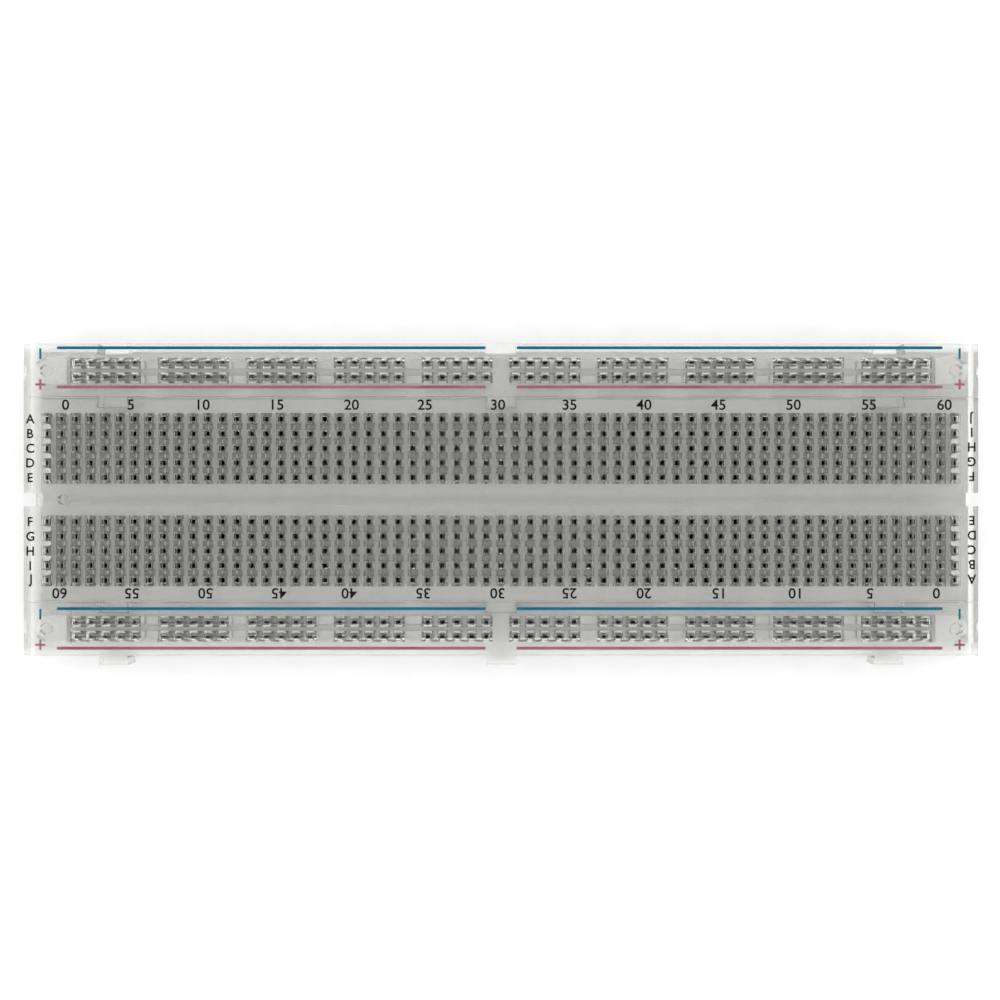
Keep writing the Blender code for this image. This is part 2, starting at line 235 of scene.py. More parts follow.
def make_painted_shade_and_highlight():
    """Colour by height: the foot's, then the leaf's, painted near black as shade, then the tip's, a
    painted highlight.
    """
    sockets = [("Foot", COLOUR, GREY), ("Leaf", COLOUR, GREY), ("Tip", COLOUR, GREY)]
    group, given, result = new_group("painted_shade_and_highlight", sockets, [("Colour", COLOUR)])
    coordinates = group.nodes.new("ShaderNodeTexCoord")
    split = group.nodes.new("ShaderNodeSeparateXYZ")
    group.links.new(coordinates.outputs["Object"], split.inputs["Vector"])
    below = given.outputs["Foot"]
    for colour, (start, end) in (("Leaf", LEAF_STARTS), ("Tip", TIP_STARTS)):
        spread = group.nodes.new("ShaderNodeMapRange")
        spread.inputs["From Min"].default_value = start * MM
        spread.inputs["From Max"].default_value = end * MM
        mix = group.nodes.new("ShaderNodeMix")
        mix.data_type = "RGBA"
        group.links.new(split.outputs["Z"], spread.inputs["Value"])
        group.links.new(spread.outputs["Result"], mix.inputs["Factor"])
        group.links.new(below, mix.inputs["A"])
        group.links.new(given.outputs[colour], mix.inputs["B"])
        below = mix.outputs["Result"]
    group.links.new(below, result.inputs["Colour"])
    return group


mottle = make_mottle()
grain = make_grain()
pores = make_pores()
painted_shade_and_highlight = make_painted_shade_and_highlight()
print("node groups:", ", ".join(group.name for group in bpy.data.node_groups))


# %% Helpers for materials
def new_material(name, **plain):
    """A material whose Principled shader takes its plain values by socket name."""
    material = bpy.data.materials.new(name)
    material.use_nodes = True
    shader = material.node_tree.nodes["Principled BSDF"]
    for socket, value in plain.items():
        shader.inputs[socket.replace("_", " ")].default_value = value
    return material


def add_group(material, group, values, feeds):
    """Place a group with its values, and feed its outputs to the shader's sockets."""
    tree = material.node_tree
    node = tree.nodes.new("ShaderNodeGroup")
    node.node_tree = group
    for socket, value in values.items():
        node.inputs[socket].default_value = value
    for output, socket in feeds.items():
        tree.links.new(node.outputs[output], tree.nodes["Principled BSDF"].inputs[socket])


def tint(red, green, blue):
    """An opaque colour in linear values."""
    return (red, green, blue, 1.0)


# %% [markdown]
# ## Materials: plastic, metal, foam, paper and ink
#
# The housing is clear polystyrene: glass with a plastic's refractive index, a faint
# green-grey cast, and a softly uneven moulded surface. The clips are nickel-plated spring
# sheet, coloured by height with painted light and shade: the leaves are painted near black
# as the shade deep in the holes, and the tips are a painted highlight. The terminal clips'
# foot is painted dark as shade, and the bus clips are painted lighter, as light on the floor
# of their deep cells. The foam is closed-cell and white, and looks grey from above.
# It glows faintly, for the light that the clear walls lead down to it by more reflections
# than are followed here. The liner is coated paper. The inks are screen printed, so their
# cover varies a little.

# %% Make the materials
PLASTIC_CAST = tint(0.952, 0.957, 0.943)
PLASTIC_CAST_DEEP = tint(0.93, 0.937, 0.917)
PLASTIC_HAZE = 0.035
FOAM_GLOW = 0.14

plastic = new_material("clear_plastic", Transmission_Weight=1.0 - PLASTIC_HAZE, IOR=1.49)
add_group(plastic, mottle, {"First": PLASTIC_CAST, "Second": PLASTIC_CAST_DEEP},
          {"Colour": "Base Color"})
add_group(plastic, grain, {"Low": 0.02, "High": 0.1, "Height": 0.000004},
          {"Roughness": "Roughness", "Normal": "Normal"})


def make_metal(name, foot, leaf, tip):
    """Rolled spring sheet, coloured by height with painted shade on the leaves and a painted highlight
    at their tips.
    """
    sheet = new_material(name, Metallic=1.0)
    add_group(sheet, painted_shade_and_highlight, {"Foot": foot, "Leaf": leaf, "Tip": tip}, {"Colour": "Base Color"})
    add_group(sheet, grain, {"Low": 0.22, "High": 0.42, "Height": 0.000006},
              {"Roughness": "Roughness", "Normal": "Normal"})
    return sheet


# Both are the same nickel plating: the terminal clips are painted darker, as the shade deep in their
# cells, and the bus clips lighter, as painted light on the floor of their channel. In each, the leaf
# colour is painted shade and the tip colour a painted highlight.
terminal_metal = make_metal("terminal_spring_metal", tint(0.2, 0.198, 0.188),
                            tint(0.04, 0.04, 0.038), tint(0.55, 0.55, 0.53))
bus_metal = make_metal("bus_spring_metal", tint(0.6, 0.6, 0.58),
                       tint(0.1, 0.1, 0.096), tint(0.93, 0.93, 0.91))

foam = new_material("adhesive_foam", Roughness=0.9, Emission_Color=tint(1.0, 1.0, 0.98),
                    Emission_Strength=FOAM_GLOW)
# The darker pit colour is painted shade in the hollows of the cut foam.
add_group(foam, pores, {"Wall": tint(0.8, 0.8, 0.78), "Pit": tint(0.7, 0.7, 0.68),
                        "Height": 0.00006}, {"Colour": "Base Color", "Normal": "Normal"})

paper = new_material("liner_paper")
add_group(paper, mottle, {"First": tint(0.84, 0.82, 0.76), "Second": tint(0.78, 0.76, 0.69)},
          {"Colour": "Base Color"})
add_group(paper, grain, {"Low": 0.4, "High": 0.6, "Height": 0.00001},
          {"Roughness": "Roughness", "Normal": "Normal"})


def make_ink(name, colour, thin):
    """Screen-printed ink: full colour, with thinner patches."""
    ink = new_material(name, Specular_IOR_Level=0.1)
    add_group(ink, mottle, {"First": colour, "Second": thin}, {"Colour": "Base Color"})
    add_group(ink, grain, {"Low": 0.35, "High": 0.55, "Height": 0.000004},
              {"Roughness": "Roughness", "Normal": "Normal"})
    return ink


blue_ink = make_ink("blue_ink", tint(0.002, 0.085, 0.15), tint(0.004, 0.11, 0.185))
rose_ink = make_ink("rose_ink", tint(0.21, 0.065, 0.095), tint(0.26, 0.095, 0.125))
black_ink = make_ink("black_ink", tint(0.002, 0.002, 0.002), tint(0.006, 0.006, 0.006))
print("materials:", ", ".join(material.name for material in bpy.data.materials))

# %% [markdown]
# ## Bent lattices
#
# Housings and clips share one idea. Take a block of space, rule it with lines in three
# directions, decide which of the small blocks are filled, and let the lines bend. The
# finished surface is every face between a filled block and an empty one. Such a surface
# is always closed, and it can hold hundreds of holes with no cutting.

# %% The surface of a bent lattice
def skin(points, filled):
    """The closed surface round the filled blocks of a bent lattice.

    points is a grid of corners, filled says which blocks between them are solid. Along
    each direction in turn, a face is kept where one of two neighbours is filled, and it
    is wound to look out of the filled one. A face bent along its middle is split through
    its lowest corner, which makes the hipped ceilings of the contact cells.
    """
    number = np.arange(points[..., 0].size).reshape(points.shape[:3])
    padded = np.pad(filled, 1)
    quads = []
    for axis in range(3):
        ids = np.moveaxis(number, axis, 0)
        corners = np.stack((ids[:, :-1, :-1], ids[:, 1:, :-1], ids[:, 1:, 1:], ids[:, :-1, 1:]), -1)
        if axis == 1:
            corners = corners[..., ::-1]
        blocks = np.moveaxis(padded, axis, 0)[:, 1:-1, 1:-1]
        quads.append(corners[blocks[:-1] & ~blocks[1:]])
        quads.append(corners[~blocks[:-1] & blocks[1:]][:, ::-1])
    quads = np.concatenate(quads)
    used, quads = np.unique(quads, return_inverse=True)
    flat_points = points.reshape(-1, 3)[used]
    quads = quads.reshape(-1, 4)
    height = flat_points[quads, 2]
    bent = np.abs(height[:, 0] - height[:, 1] + height[:, 2] - height[:, 3]) > TOLERANCE
    flat = np.abs(np.ptp(flat_points[quads][..., :2], axis=1)).min(1) > TOLERANCE
    split = bent & flat
    lowest = height[split].argmin(1)[:, None]
    turned = np.take_along_axis(quads[split], (np.arange(4) + lowest) % 4, 1)
    faces = quads[~split].tolist() + turned[:, [0, 1, 2]].tolist() + turned[:, [0, 2, 3]].tolist()
    return flat_points, faces


# %% [markdown]
# ## Lofts
#
# Everything else with an outline is a loft: the same outline, perhaps wider or narrower,
# repeated at rising heights, with walls between and a lid at each end.

# %% A loft, and putting pieces together
def loft(rings, heights):
    """Walls between outlines at rising heights, closed by a floor and a lid.

    rings are outlines with equally many points, counterclockwise from above. Point i of
    one ring is joined to point i of the next.
    """
    count = len(rings[0])
    points = np.concatenate([np.column_stack((ring, np.full(count, height)))
                             for ring, height in zip(rings, heights)])
    here = np.arange(count)
    ahead = np.roll(here, -1)
    walls = [np.column_stack((here, ahead, ahead + count, here + count)) + level * count
             for level in range(len(rings) - 1)]
    last = (len(rings) - 1) * count
    return points, [here[::-1].tolist(), (here + last).tolist()] + np.concatenate(walls).tolist()


def joined(shapes):
    """Several shapes as one list of points and one list of faces."""
    points = []
    faces = []
    start = 0
    for shape_points, shape_faces in shapes:
        points.append(shape_points)
        faces += [[corner + start for corner in face] for face in shape_faces]
        start += len(shape_points)
    return np.concatenate(points), faces


def new_object(name, shape):
    """An object at the origin from points in millimetres and faces."""
    points, faces = shape
    mesh = bpy.data.meshes.new(name)
    mesh.from_pydata(points * MM, [], faces)
    thing = bpy.data.objects.new(name, mesh)
    bpy.context.scene.collection.objects.link(thing)
    return thing


def finish_piece(piece, material, body, stands_for=()):
    """Give a piece its material and body, and hide the CAD nodes it stands for."""
    piece.data.materials.clear()
    piece.data.materials.append(material)
    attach(piece, body)
    if stands_for:
        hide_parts(*stands_for)
    return piece


def loose_edges(mesh):
    """How many edges don't have exactly two faces: none, on a closed surface."""
    edge_of_loop = np.empty(len(mesh.loops), np.int32)
    mesh.loops.foreach_get("edge_index", edge_of_loop)
    return int((np.bincount(edge_of_loop, minlength=len(mesh.edges)) != 2).sum())


# %% [markdown]
# ## Housings
#
# A strip is ruled with lines at the edges of its holes and cells. From the top, each hole
# starts with a square countersunk mouth, runs down through a collar, and opens into its
# cell. The ceiling of the cell rises from the collar on four sides like a hipped roof, and
# that is what draws the dark and bright facets round every hole. The walls between the
# cells stay solid down to the foam.

# %% Rule a strip
COLLAR_BOTTOM = 7.95
CEILING = 8.1
END_CEILING = 8.48
RAIL_CEILING = 8.7
DECIMALS = 4
SOLID, SIDE, OPEN, PASSAGE = range(4)


def rule(cells, overhang, edges):
    """Lines across a row of contact cells, and what lies between neighbouring lines.

    cells is a list of arrays of contact centres. A cell runs an overhang past its end
    contacts. A line runs at both edges of each hole, at both edges of each collar, at
    both ends of the cell, and at the edges given.
    """
    contacts = np.concatenate(cells)
    starts = np.array([cell[0] - overhang for cell in cells])
    ends = np.array([cell[-1] + overhang for cell in cells])
    collars = np.concatenate([np.append(cell[:-1] + COLLAR_HALF, cell[1:] - COLLAR_HALF)
                              for cell in cells])
    lines = np.concatenate((contacts - HOLE_HALF, contacts + HOLE_HALF, collars, starts, ends, edges))
    lines = np.unique(lines.round(DECIMALS))
    between = (lines[:-1] + lines[1:]) / 2
    kind = np.full(len(between), SOLID)
    kind[((between[:, None] > starts) & (between[:, None] < ends)).any(1)] = SIDE
    kind[(np.abs(between[:, None] - contacts) < HOLE_HALF).any(1)] = OPEN
    away = lines[:, None] - contacts
    nearest = np.take_along_axis(away, np.abs(away).argmin(1)[:, None], 1)[:, 0]
    side_of_hole = np.where(np.abs(np.abs(nearest) - HOLE_HALF) < TOLERANCE, np.sign(nearest), 0.0)
    is_end = np.isin(lines, np.append(starts, ends).round(DECIMALS))
    return lines, kind, side_of_hole, np.where(is_end, END_CEILING, CEILING)


def strip_lattice(across, along, passage_top):
    """The corners and filled blocks of a strip, ruled in x by across and in y by along.

    Height runs through the bottom, the top of the strap passages where there are any,
    the ceiling, the foot of the mouths, and the top. The ceiling is lowest at the
    corners of the holes. At the top, the hole lines spread into the mouths.
    """
    x_lines, x_kind, x_side, _ = across
    y_lines, y_kind, y_side, y_ceiling = along
    corner = (x_side != 0)[:, None] & (y_side != 0)[None, :]
    flat = np.ones(corner.shape)
    levels = [BOTTOM * flat, np.where(corner, COLLAR_BOTTOM, y_ceiling[None, :]),
              (TOP - MOUTH_DEPTH) * flat, TOP * flat]
    in_cell = ((x_kind == SIDE) | (x_kind == OPEN))[:, None] & (y_kind != SOLID)[None, :]
    in_hole = (x_kind == OPEN)[:, None] & (y_kind == OPEN)[None, :]
    passage = (x_kind == PASSAGE)[:, None] & (y_kind != SOLID)[None, :]
    filled = [~in_cell, ~in_hole, ~in_hole]
    if passage.any():
        levels.insert(1, passage_top * flat)
        filled.insert(0, ~(in_cell | passage))
    spread = np.zeros(len(levels))
    spread[-1] = MOUTH_HALF - HOLE_HALF
    x = x_lines[:, None, None] + x_side[:, None, None] * spread + 0.0 * flat[..., None]
    y = y_lines[None, :, None] + y_side[None, :, None] * spread + 0.0 * flat[..., None]
    return np.stack((x, y, np.stack(levels, -1)), -1), np.stack(filled, -1)


# %% [markdown]
# The outer edges of a moulding are never sharp, so they get a fine Bevel. The dovetails,
# end pockets and screw holes don't follow the grid, so they are lofts joined on or cut
# out with Boolean modifiers, which are then applied.

# %% Edges, dovetails, pockets and screw holes
EDGE_RADIUS = 0.06
EDGE_SEGMENTS = 3
DOVETAIL_X = (-67.3, 0.0, 67.3)
TAB_ROOT_HALF = 2.35
TAB_END_HALF = 2.65
TAB_BOTTOM = 1.25
TAB_TOP = 8.0
TAB_ROOTED = 0.5
SLOT_GAP = 0.15
SLOT_MARGIN = 1.0
CUT_BELOW = 0.5
CUT_ABOVE = 1.0
ARC_STEPS = 16
SCREW_X = 78.74
BUS_SCREW_RADIUS = 1.06
POCKET_INNER_X = 75.4
POCKET_BOTTOM_RADIUS = 3.15
POCKET_TOP_RADIUS = 2.3
POCKET_TOP = 7.55


def dovetail(x, edge_y, gap, behind):
    """A dovetail's outline: from behind the edge, flaring to its far end, with a gap round it."""
    flare = (TAB_END_HALF - TAB_ROOT_HALF) / TAB_DEPTH
    near = TAB_ROOT_HALF + gap - flare * behind
    far = TAB_END_HALF + gap + flare * gap
    far_y = edge_y - TAB_DEPTH - gap
    return np.array([(x - far, far_y), (x + far, far_y),
                     (x + near, edge_y + behind), (x - near, edge_y + behind)])


def end_pocket(side, centre_y):
    """A drafted U-shaped pocket below a screw hole, with the hole, as one loft.

    The U is a half circle round the screw, carried straight on towards the contacts.
    The ring that starts the hole has each point of the U moved onto the screw's circle.
    """
    angle = np.linspace(-math.pi / 2, math.pi / 2, ARC_STEPS)
    arc = np.column_stack((np.cos(angle), np.sin(angle)))
    reach = SCREW_X - POCKET_INNER_X

    def u_shape(radius):
        tail = np.array([(-reach, radius), (-reach, 0.0), (-reach, -radius)])
        return np.concatenate((arc * radius, tail))

    upper = u_shape(POCKET_TOP_RADIUS)
    circle = upper / np.linalg.norm(upper, axis=1)[:, None] * BUS_SCREW_RADIUS
    rings = [u_shape(POCKET_BOTTOM_RADIUS), upper, circle, circle]
    rings = [(ring + (SCREW_X, 0.0)) * (side, 1.0) + (0.0, centre_y) for ring in rings]
    if side < 0:
        rings = [ring[::-1] for ring in rings]
    return loft(rings, (BOTTOM - CUT_BELOW, POCKET_TOP, POCKET_TOP, TOP + CUT_ABOVE))


def tabs_and_slots(centre_y, half_width):
    """Tabs on a strip's -Y edge, and the slots, open below, behind its +Y edge."""
    tabs = [loft([dovetail(x, centre_y - half_width, 0.0, TAB_ROOTED)] * 2, (TAB_BOTTOM, TAB_TOP))
            for x in DOVETAIL_X]
    slot_top = TAB_TOP + SLOT_GAP
    slots = [loft([dovetail(x, centre_y + half_width, SLOT_GAP, SLOT_MARGIN)] * 2,
                  (BOTTOM - CUT_BELOW, slot_top)) for x in DOVETAIL_X]
    return tabs, slots


def mark_rim(mesh, low, high):
    """Weigh for the bevel the edges of the top rim and the four upright corners."""
    points = np.empty(len(mesh.vertices) * 3)
    mesh.vertices.foreach_get("co", points)
    points = points.reshape(-1, 3) / MM
    ends = np.empty(len(mesh.edges) * 2, np.int32)
    mesh.edges.foreach_get("vertices", ends)
    ends = ends.reshape(-1, 2)
    at_x = np.minimum(np.abs(points[:, 0] - low[0]), np.abs(points[:, 0] - high[0])) < TOLERANCE
    at_y = np.minimum(np.abs(points[:, 1] - low[1]), np.abs(points[:, 1] - high[1])) < TOLERANCE
    at_top = np.abs(points[:, 2] - high[2]) < TOLERANCE
    faces = np.column_stack((at_x, at_y, at_top))
    weight = (faces[ends].all(1).sum(1) >= 2).astype(np.float32)
    mesh.attributes.new("bevel_weight_edge", "FLOAT", "EDGE").data.foreach_set("value", weight)


def mould(name, lattice, low, high, tabs, cuts):
    """A housing: the lattice's skin, bevelled, with its tabs joined and its cuts made."""
    piece = new_object(name, skin(*lattice))
    mark_rim(piece.data, low, high)
    bevel = piece.modifiers.new("rim", "BEVEL")
    bevel.limit_method = "WEIGHT"
    bevel.width = EDGE_RADIUS * MM
    bevel.segments = EDGE_SEGMENTS
    tools = []
    for operation, shapes in (("UNION", tabs), ("DIFFERENCE", cuts)):
        tools.append(new_object(name + "_" + operation, joined(shapes)))
        modifier = piece.modifiers.new(operation, "BOOLEAN")
        modifier.operation = operation
        modifier.object = tools[-1]
    done = piece.evaluated_get(bpy.context.evaluated_depsgraph_get())
    mesh = bpy.data.meshes.new_from_object(done)
    piece.modifiers.clear()
    piece.data = mesh
    for tool in tools:
        bpy.data.objects.remove(tool)
    mesh.name = name
    print(name, len(mesh.polygons), "faces, open edges:", loose_edges(mesh))
    return piece


# %% [markdown]
# The terminal strip has a centre channel between its two banks of cells, which runs out
# into a notch at each end, and one screw hole through the channel's floor.

# %% Mould the terminal strip
CHANNEL_HALF = 1.15
CHANNEL_FLOOR = 3.55
NOTCH_DEPTH = 0.8
CHANNEL_SCREW = (-77.1, 0.94)

columns = rule([np.array([x]) for x in column_x], CELL_HALF,
               [-HALF_LENGTH, NOTCH_DEPTH - HALF_LENGTH, HALF_LENGTH - NOTCH_DEPTH, HALF_LENGTH])
banks = rule([row_y - BANK_CENTRE, row_y + BANK_CENTRE], CELL_OVERHANG,
             [-TERMINAL_HALF, -CHANNEL_HALF, CHANNEL_HALF, TERMINAL_HALF])
corners, filled = strip_lattice(columns, banks, BOTTOM)
channel_lines = np.abs(banks[0]) < CHANNEL_HALF + TOLERANCE
channel = np.abs(banks[0][:-1] + banks[0][1:]) / 2 < CHANNEL_HALF
corners[:, channel_lines, 1, 2] = CHANNEL_FLOOR
filled[:, channel, 1:] = False
filled[0, channel] = False
filled[-1, channel] = False

turn = np.linspace(0.0, 2 * math.pi, 2 * ARC_STEPS, endpoint=False)
screw = np.column_stack((np.cos(turn), np.sin(turn))) * CHANNEL_SCREW[1] + (CHANNEL_SCREW[0], 0.0)
tabs, slots = tabs_and_slots(0.0, TERMINAL_HALF)
cuts = slots + [loft([screw, screw], (BOTTOM - CUT_BELOW, CHANNEL_FLOOR + CUT_ABOVE))]
edge_low = np.array([-HALF_LENGTH, -TERMINAL_HALF, BOTTOM])
edge_high = np.array([HALF_LENGTH, TERMINAL_HALF, TOP])
terminal_plastic = mould("terminal_plastic", (corners, filled), edge_low, edge_high, tabs, cuts)
finish_piece(terminal_plastic, plastic, "terminal_strip", ["terminal_housing"])

# %% [markdown]
# A bus strip has two rails. Each half rail is one long clip in five cells of five
# contacts, and low passages let its straps through the walls between the cells.

# %% Mould the bus strips
PASSAGE_TOP = 2.3

group_columns = [half * (GROUP + 1) * GROUPS_IN_HALF + FIRST_GROUP + index * (GROUP + 1)
                 for half in range(2) for index in range(GROUPS_IN_HALF)]
group_x = [column_x[first:first + GROUP] for first in group_columns]
groups = rule(group_x, CELL_OVERHANG, [-HALF_LENGTH, HALF_LENGTH])
lines, kind = groups[:2]
between = (lines[:-1] + lines[1:]) / 2
inside = (np.abs(between) < group_x[-1][-1]) & (np.abs(between) > group_x[GROUPS_IN_HALF][0])
kind[(kind == SOLID) & inside] = PASSAGE


def mould_bus(name, body, centre_y):
    """A bus strip about its centre line."""
    rails = rule([np.array([centre_y - RAIL_CENTRE]), np.array([centre_y + RAIL_CENTRE])],
                 CELL_HALF, [centre_y - BUS_HALF, centre_y + BUS_HALF])
    outermost = np.abs(np.abs(rails[0]) - abs(centre_y) - RAIL_CENTRE - CELL_HALF) < TOLERANCE
    rails = (*rails[:3], np.where(outermost, RAIL_CEILING, CEILING))
    tabs, slots = tabs_and_slots(centre_y, BUS_HALF)
    low = np.array([-HALF_LENGTH, centre_y - BUS_HALF, BOTTOM])
    high = np.array([HALF_LENGTH, centre_y + BUS_HALF, TOP])
    cuts = slots + [end_pocket(side, centre_y) for side in (-1.0, 1.0)]
    lattice = strip_lattice(groups, rails, PASSAGE_TOP)
    piece = mould(name, lattice, low, high, tabs, cuts)
    return finish_piece(piece, plastic, body, [body + "_housing"])


mould_bus("upper_bus_plastic", "upper_bus", BUS_CENTRE)
mould_bus("lower_bus_plastic", "lower_bus", -BUS_CENTRE)

# %% [markdown]
# ## Contact clips
#
# A clip is one piece of spring sheet. Its foot lies on the foam, and pairs of leaves rise
# from the foot, lean together until they almost touch, and flare again into a lead-in for
# the wire. The profile across the clip is carried along it, and the blocks between the
# leaves are left out of the lattice. A leaf narrows a little towards its tip.

# %% The clip's shape
SHEET = 0.2
CLIP_BOTTOM = 1.3
STRAP_HALF = 0.65
FOOT_HALF = 0.85
PINCH_HALF = 0.36
LIP_HALF = 0.89
LEAF_ROOT_HALF = 0.85
LEAF_TIP_HALF = 0.64
PINCH_HEIGHT = 4.9
NEIGHBOURS = 1.5 * PITCH
FLARE_POWER = 6
SHARP_ANGLE = math.radians(40)
leaf_heights = np.array([CLIP_BOTTOM, CLIP_BOTTOM, 2.2, 3.5, PINCH_HEIGHT, 6.6, 7.25, 7.5, 7.65])


def half_profile():
    """Half of the outer profile: foot, upright root, lean to the pinch, flare to the lip."""
    lean = np.clip((leaf_heights - leaf_heights[2]) / (PINCH_HEIGHT - leaf_heights[2]), 0, 1)
    flare = np.clip((leaf_heights - PINCH_HEIGHT) / (leaf_heights[-1] - PINCH_HEIGHT), 0, 1)
    eased = lean * lean * (3 - 2 * lean)
    half = FOOT_HALF - (FOOT_HALF - PINCH_HALF) * eased + (LIP_HALF - PINCH_HALF) * flare ** FLARE_POWER
    half[0] = STRAP_HALF
    return half


def clip_lattice(contacts):
    """The corners and filled blocks of a clip that runs along contacts.

    The profile runs from one lip down, across the foot and up to the other lip. Its
    second layer lies a sheet's thickness inwards, square to the profile.
    """
    half = half_profile()
    across = np.concatenate((-half[::-1], half))
    up = np.concatenate((leaf_heights[::-1], leaf_heights))
    step = np.stack((np.gradient(across), np.gradient(up)), -1)
    step /= np.linalg.norm(step, axis=1)[:, None]
    rise = np.clip((up - leaf_heights[2]) / (leaf_heights[-1] - leaf_heights[2]), 0, 1)
    leaf_half = LEAF_ROOT_HALF - (LEAF_ROOT_HALF - LEAF_TIP_HALF) * rise
    ends = np.tile((-1.0, 1.0), len(contacts))
    along = np.repeat(contacts, 2)[None, :] + ends[None, :] * leaf_half[:, None]
    outer = np.stack((np.broadcast_to(across[:, None], along.shape), along,
                      np.broadcast_to(up[:, None], along.shape)), -1)
    inward = np.zeros(outer.shape)
    inward[..., 0] = -step[:, 1, None] * SHEET
    inward[..., 2] = step[:, 0, None] * SHEET
    middle = len(half) - 1
    filled = np.zeros((len(up) - 1, 2 * len(contacts) - 1, 1), bool)
    filled[:, ::2] = True
    filled[middle, 1::2] = True
    near = np.diff(contacts) < NEIGHBOURS
    filled[middle - 1:middle + 2, 1::2] |= near[None, :, None]
    return np.stack((outer, outer + inward), 2), filled


def add_clip(name, body, contacts, centre, runs_in_x, sheet, stands_for):
    """A clip along y at an x centre, or turned a quarter to run along x at a y centre."""
    points, faces = skin(*clip_lattice(contacts))
    points = points + (centre, 0.0, 0.0)
    if runs_in_x:
        points = np.column_stack((points[:, 1], 2 * centre - points[:, 0], points[:, 2]))
    piece = new_object(name, (points, faces))
    piece.data.shade_smooth()
    piece.data.set_sharp_from_angle(angle=SHARP_ANGLE)
    return finish_piece(piece, sheet, body, [stands_for])


# %% Place the clips
CLIPS_PER_NODE = 3


def add_terminal_clips():
    """One clip for each column of each bank."""
    for bank, centre_y in (("ae", BANK_CENTRE), ("fj", -BANK_CENTRE)):
        for column, x in enumerate(column_x):
            first = column - column % CLIPS_PER_NODE
            node = f"clips_{bank}_columns_{first:02d}_{first + CLIPS_PER_NODE - 1:02d}"
            name = f"clip_{bank}_column_{column:02d}"
            add_clip(name, "terminal_strip", row_y + centre_y, x, False, terminal_metal, node)


def add_bus_clips():
    """Two half rails in each of two rails of each bus strip."""
    halves = {"left": np.concatenate(group_x[:GROUPS_IN_HALF]),
              "right": np.concatenate(group_x[GROUPS_IN_HALF:])}
    for strip in ("upper_bus", "lower_bus"):
        for rail in ("minus", "plus"):
            for side, contacts in halves.items():
                node = f"{strip}_{rail}_clip_{side}"
                low, high = box_mm(node)
                name = f"{strip}_{rail}_spring_{side}"
                add_clip(name, strip, contacts, (low[1] + high[1]) / 2, True, bus_metal, node)


add_terminal_clips()
add_bus_clips()
sample = bpy.data.objects["clip_ae_column_00"].data
print("one clip:", len(sample.polygons), "faces, open edges:", loose_edges(sample))

# %% [markdown]
# ## Foam pads and liners
#
# Each strip has its own pad of double-sided foam with a paper liner, cut along the
# dovetails so that the strips still come apart. Foam is cut with a blade and springs
# back, so its edge wanders a little and bulges at half height. The outline is walked at
# even steps and pushed about by a few slow waves.

# %% Make the pads and liners
OUTLINE_STEP = 0.8
WANDER = 0.05
FOAM_BULGE = 0.06
PAD_GAP = 0.05
WAVES_ROUND = (37, 83, 151)
SWELL = np.array([0.0, 0.7, 1.0, 0.7, 0.0])


def pad_outline(low, high, front, back, tongues, notches):
    """A pad from above: a rectangle, with tongues under its tabs and notches behind."""
    start = [(low[0], front)]
    for x in DOVETAIL_X if tongues else ():
        far_left, far_right = dovetail(x, front, 0.0, 0.0)[:2]
        start += [(x - TAB_ROOT_HALF, front), far_left, far_right, (x + TAB_ROOT_HALF, front)]
    start += [(high[0], front), (high[0], back)]
    mouth = TAB_ROOT_HALF + SLOT_GAP
    for x in reversed(DOVETAIL_X) if notches else ():
        far_left, far_right = dovetail(x, back, SLOT_GAP, 0.0)[:2]
        start += [(x + mouth, back), far_right, far_left, (x - mouth, back)]
    return np.array(start + [(low[0], back)])


def walked(outline):
    """The same outline with points at even steps along every side."""
    sides = np.roll(outline, -1, 0) - outline
    counts = np.maximum(np.ceil(np.linalg.norm(sides, axis=1) / OUTLINE_STEP), 1).astype(int)
    side = np.repeat(np.arange(len(outline)), counts)
    step = np.arange(len(side)) - np.repeat(np.cumsum(counts) - counts, counts)
    return outline[side] + sides[side] * (step / counts[side])[:, None]


def outward(ring):
    """Unit vectors square to the outline, pointing out of it."""
    along = np.roll(ring, -1, 0) - np.roll(ring, 1, 0)
    along /= np.linalg.norm(along, axis=1)[:, None]
    return np.column_stack((along[:, 1], -along[:, 0]))


def cut_foam(outline, low_z, high_z, seed):
    """A slab whose edge wanders by slow sine waves and bulges at half height."""
    ring = walked(outline)
    out = outward(ring)
    place = np.arange(len(ring)) / len(ring) * 2 * math.pi
    waves = np.random.default_rng(seed).uniform(0, 2 * math.pi, len(WAVES_ROUND))
    wander = sum(np.sin(place * count + wave) for count, wave in zip(WAVES_ROUND, waves)) / len(waves)
    base = ring + out * (wander[:, None] - 1.0) * WANDER
    rings = [base + out * swell * FOAM_BULGE for swell in SWELL - 1.0]
    return loft(rings, np.linspace(low_z, high_z, len(rings)))


for seed, (strip, body) in enumerate((("upper_bus", "upper_bus"), ("terminal", "terminal_strip"),
                                      ("lower_bus", "lower_bus"))):
    low, high = box_mm(strip + "_foam")
    tongues = strip != "lower_bus"
    notches = strip != "upper_bus"
    front = low[1] + TAB_DEPTH if tongues else low[1]
    outline = pad_outline(low, high, front, high[1], tongues, notches)
    pad = new_object(strip + "_pad", cut_foam(outline, low[2], high[2], seed))
    finish_piece(pad, foam, body, [strip + "_foam"])
    low, high = box_mm(strip + "_liner")
    ring = walked(outline)
    sheet = loft([ring - outward(ring) * PAD_GAP] * 2, (low[2], high[2]))
    release = new_object(strip + "_release_paper", sheet)
    finish_piece(release, paper, body, [strip + "_liner"])
    print(pad.name, len(pad.data.polygons), "faces, open edges:", loose_edges(pad.data))

# %% [markdown]
# ## Printing
#
# The marks are generic grid marks: numbers along the columns, letters along the rows, a
# blue line for minus and a rose line for plus. Ink has a thickness, so each mark is a
# thin loft or an extruded text laid on the plastic, a hair above it.

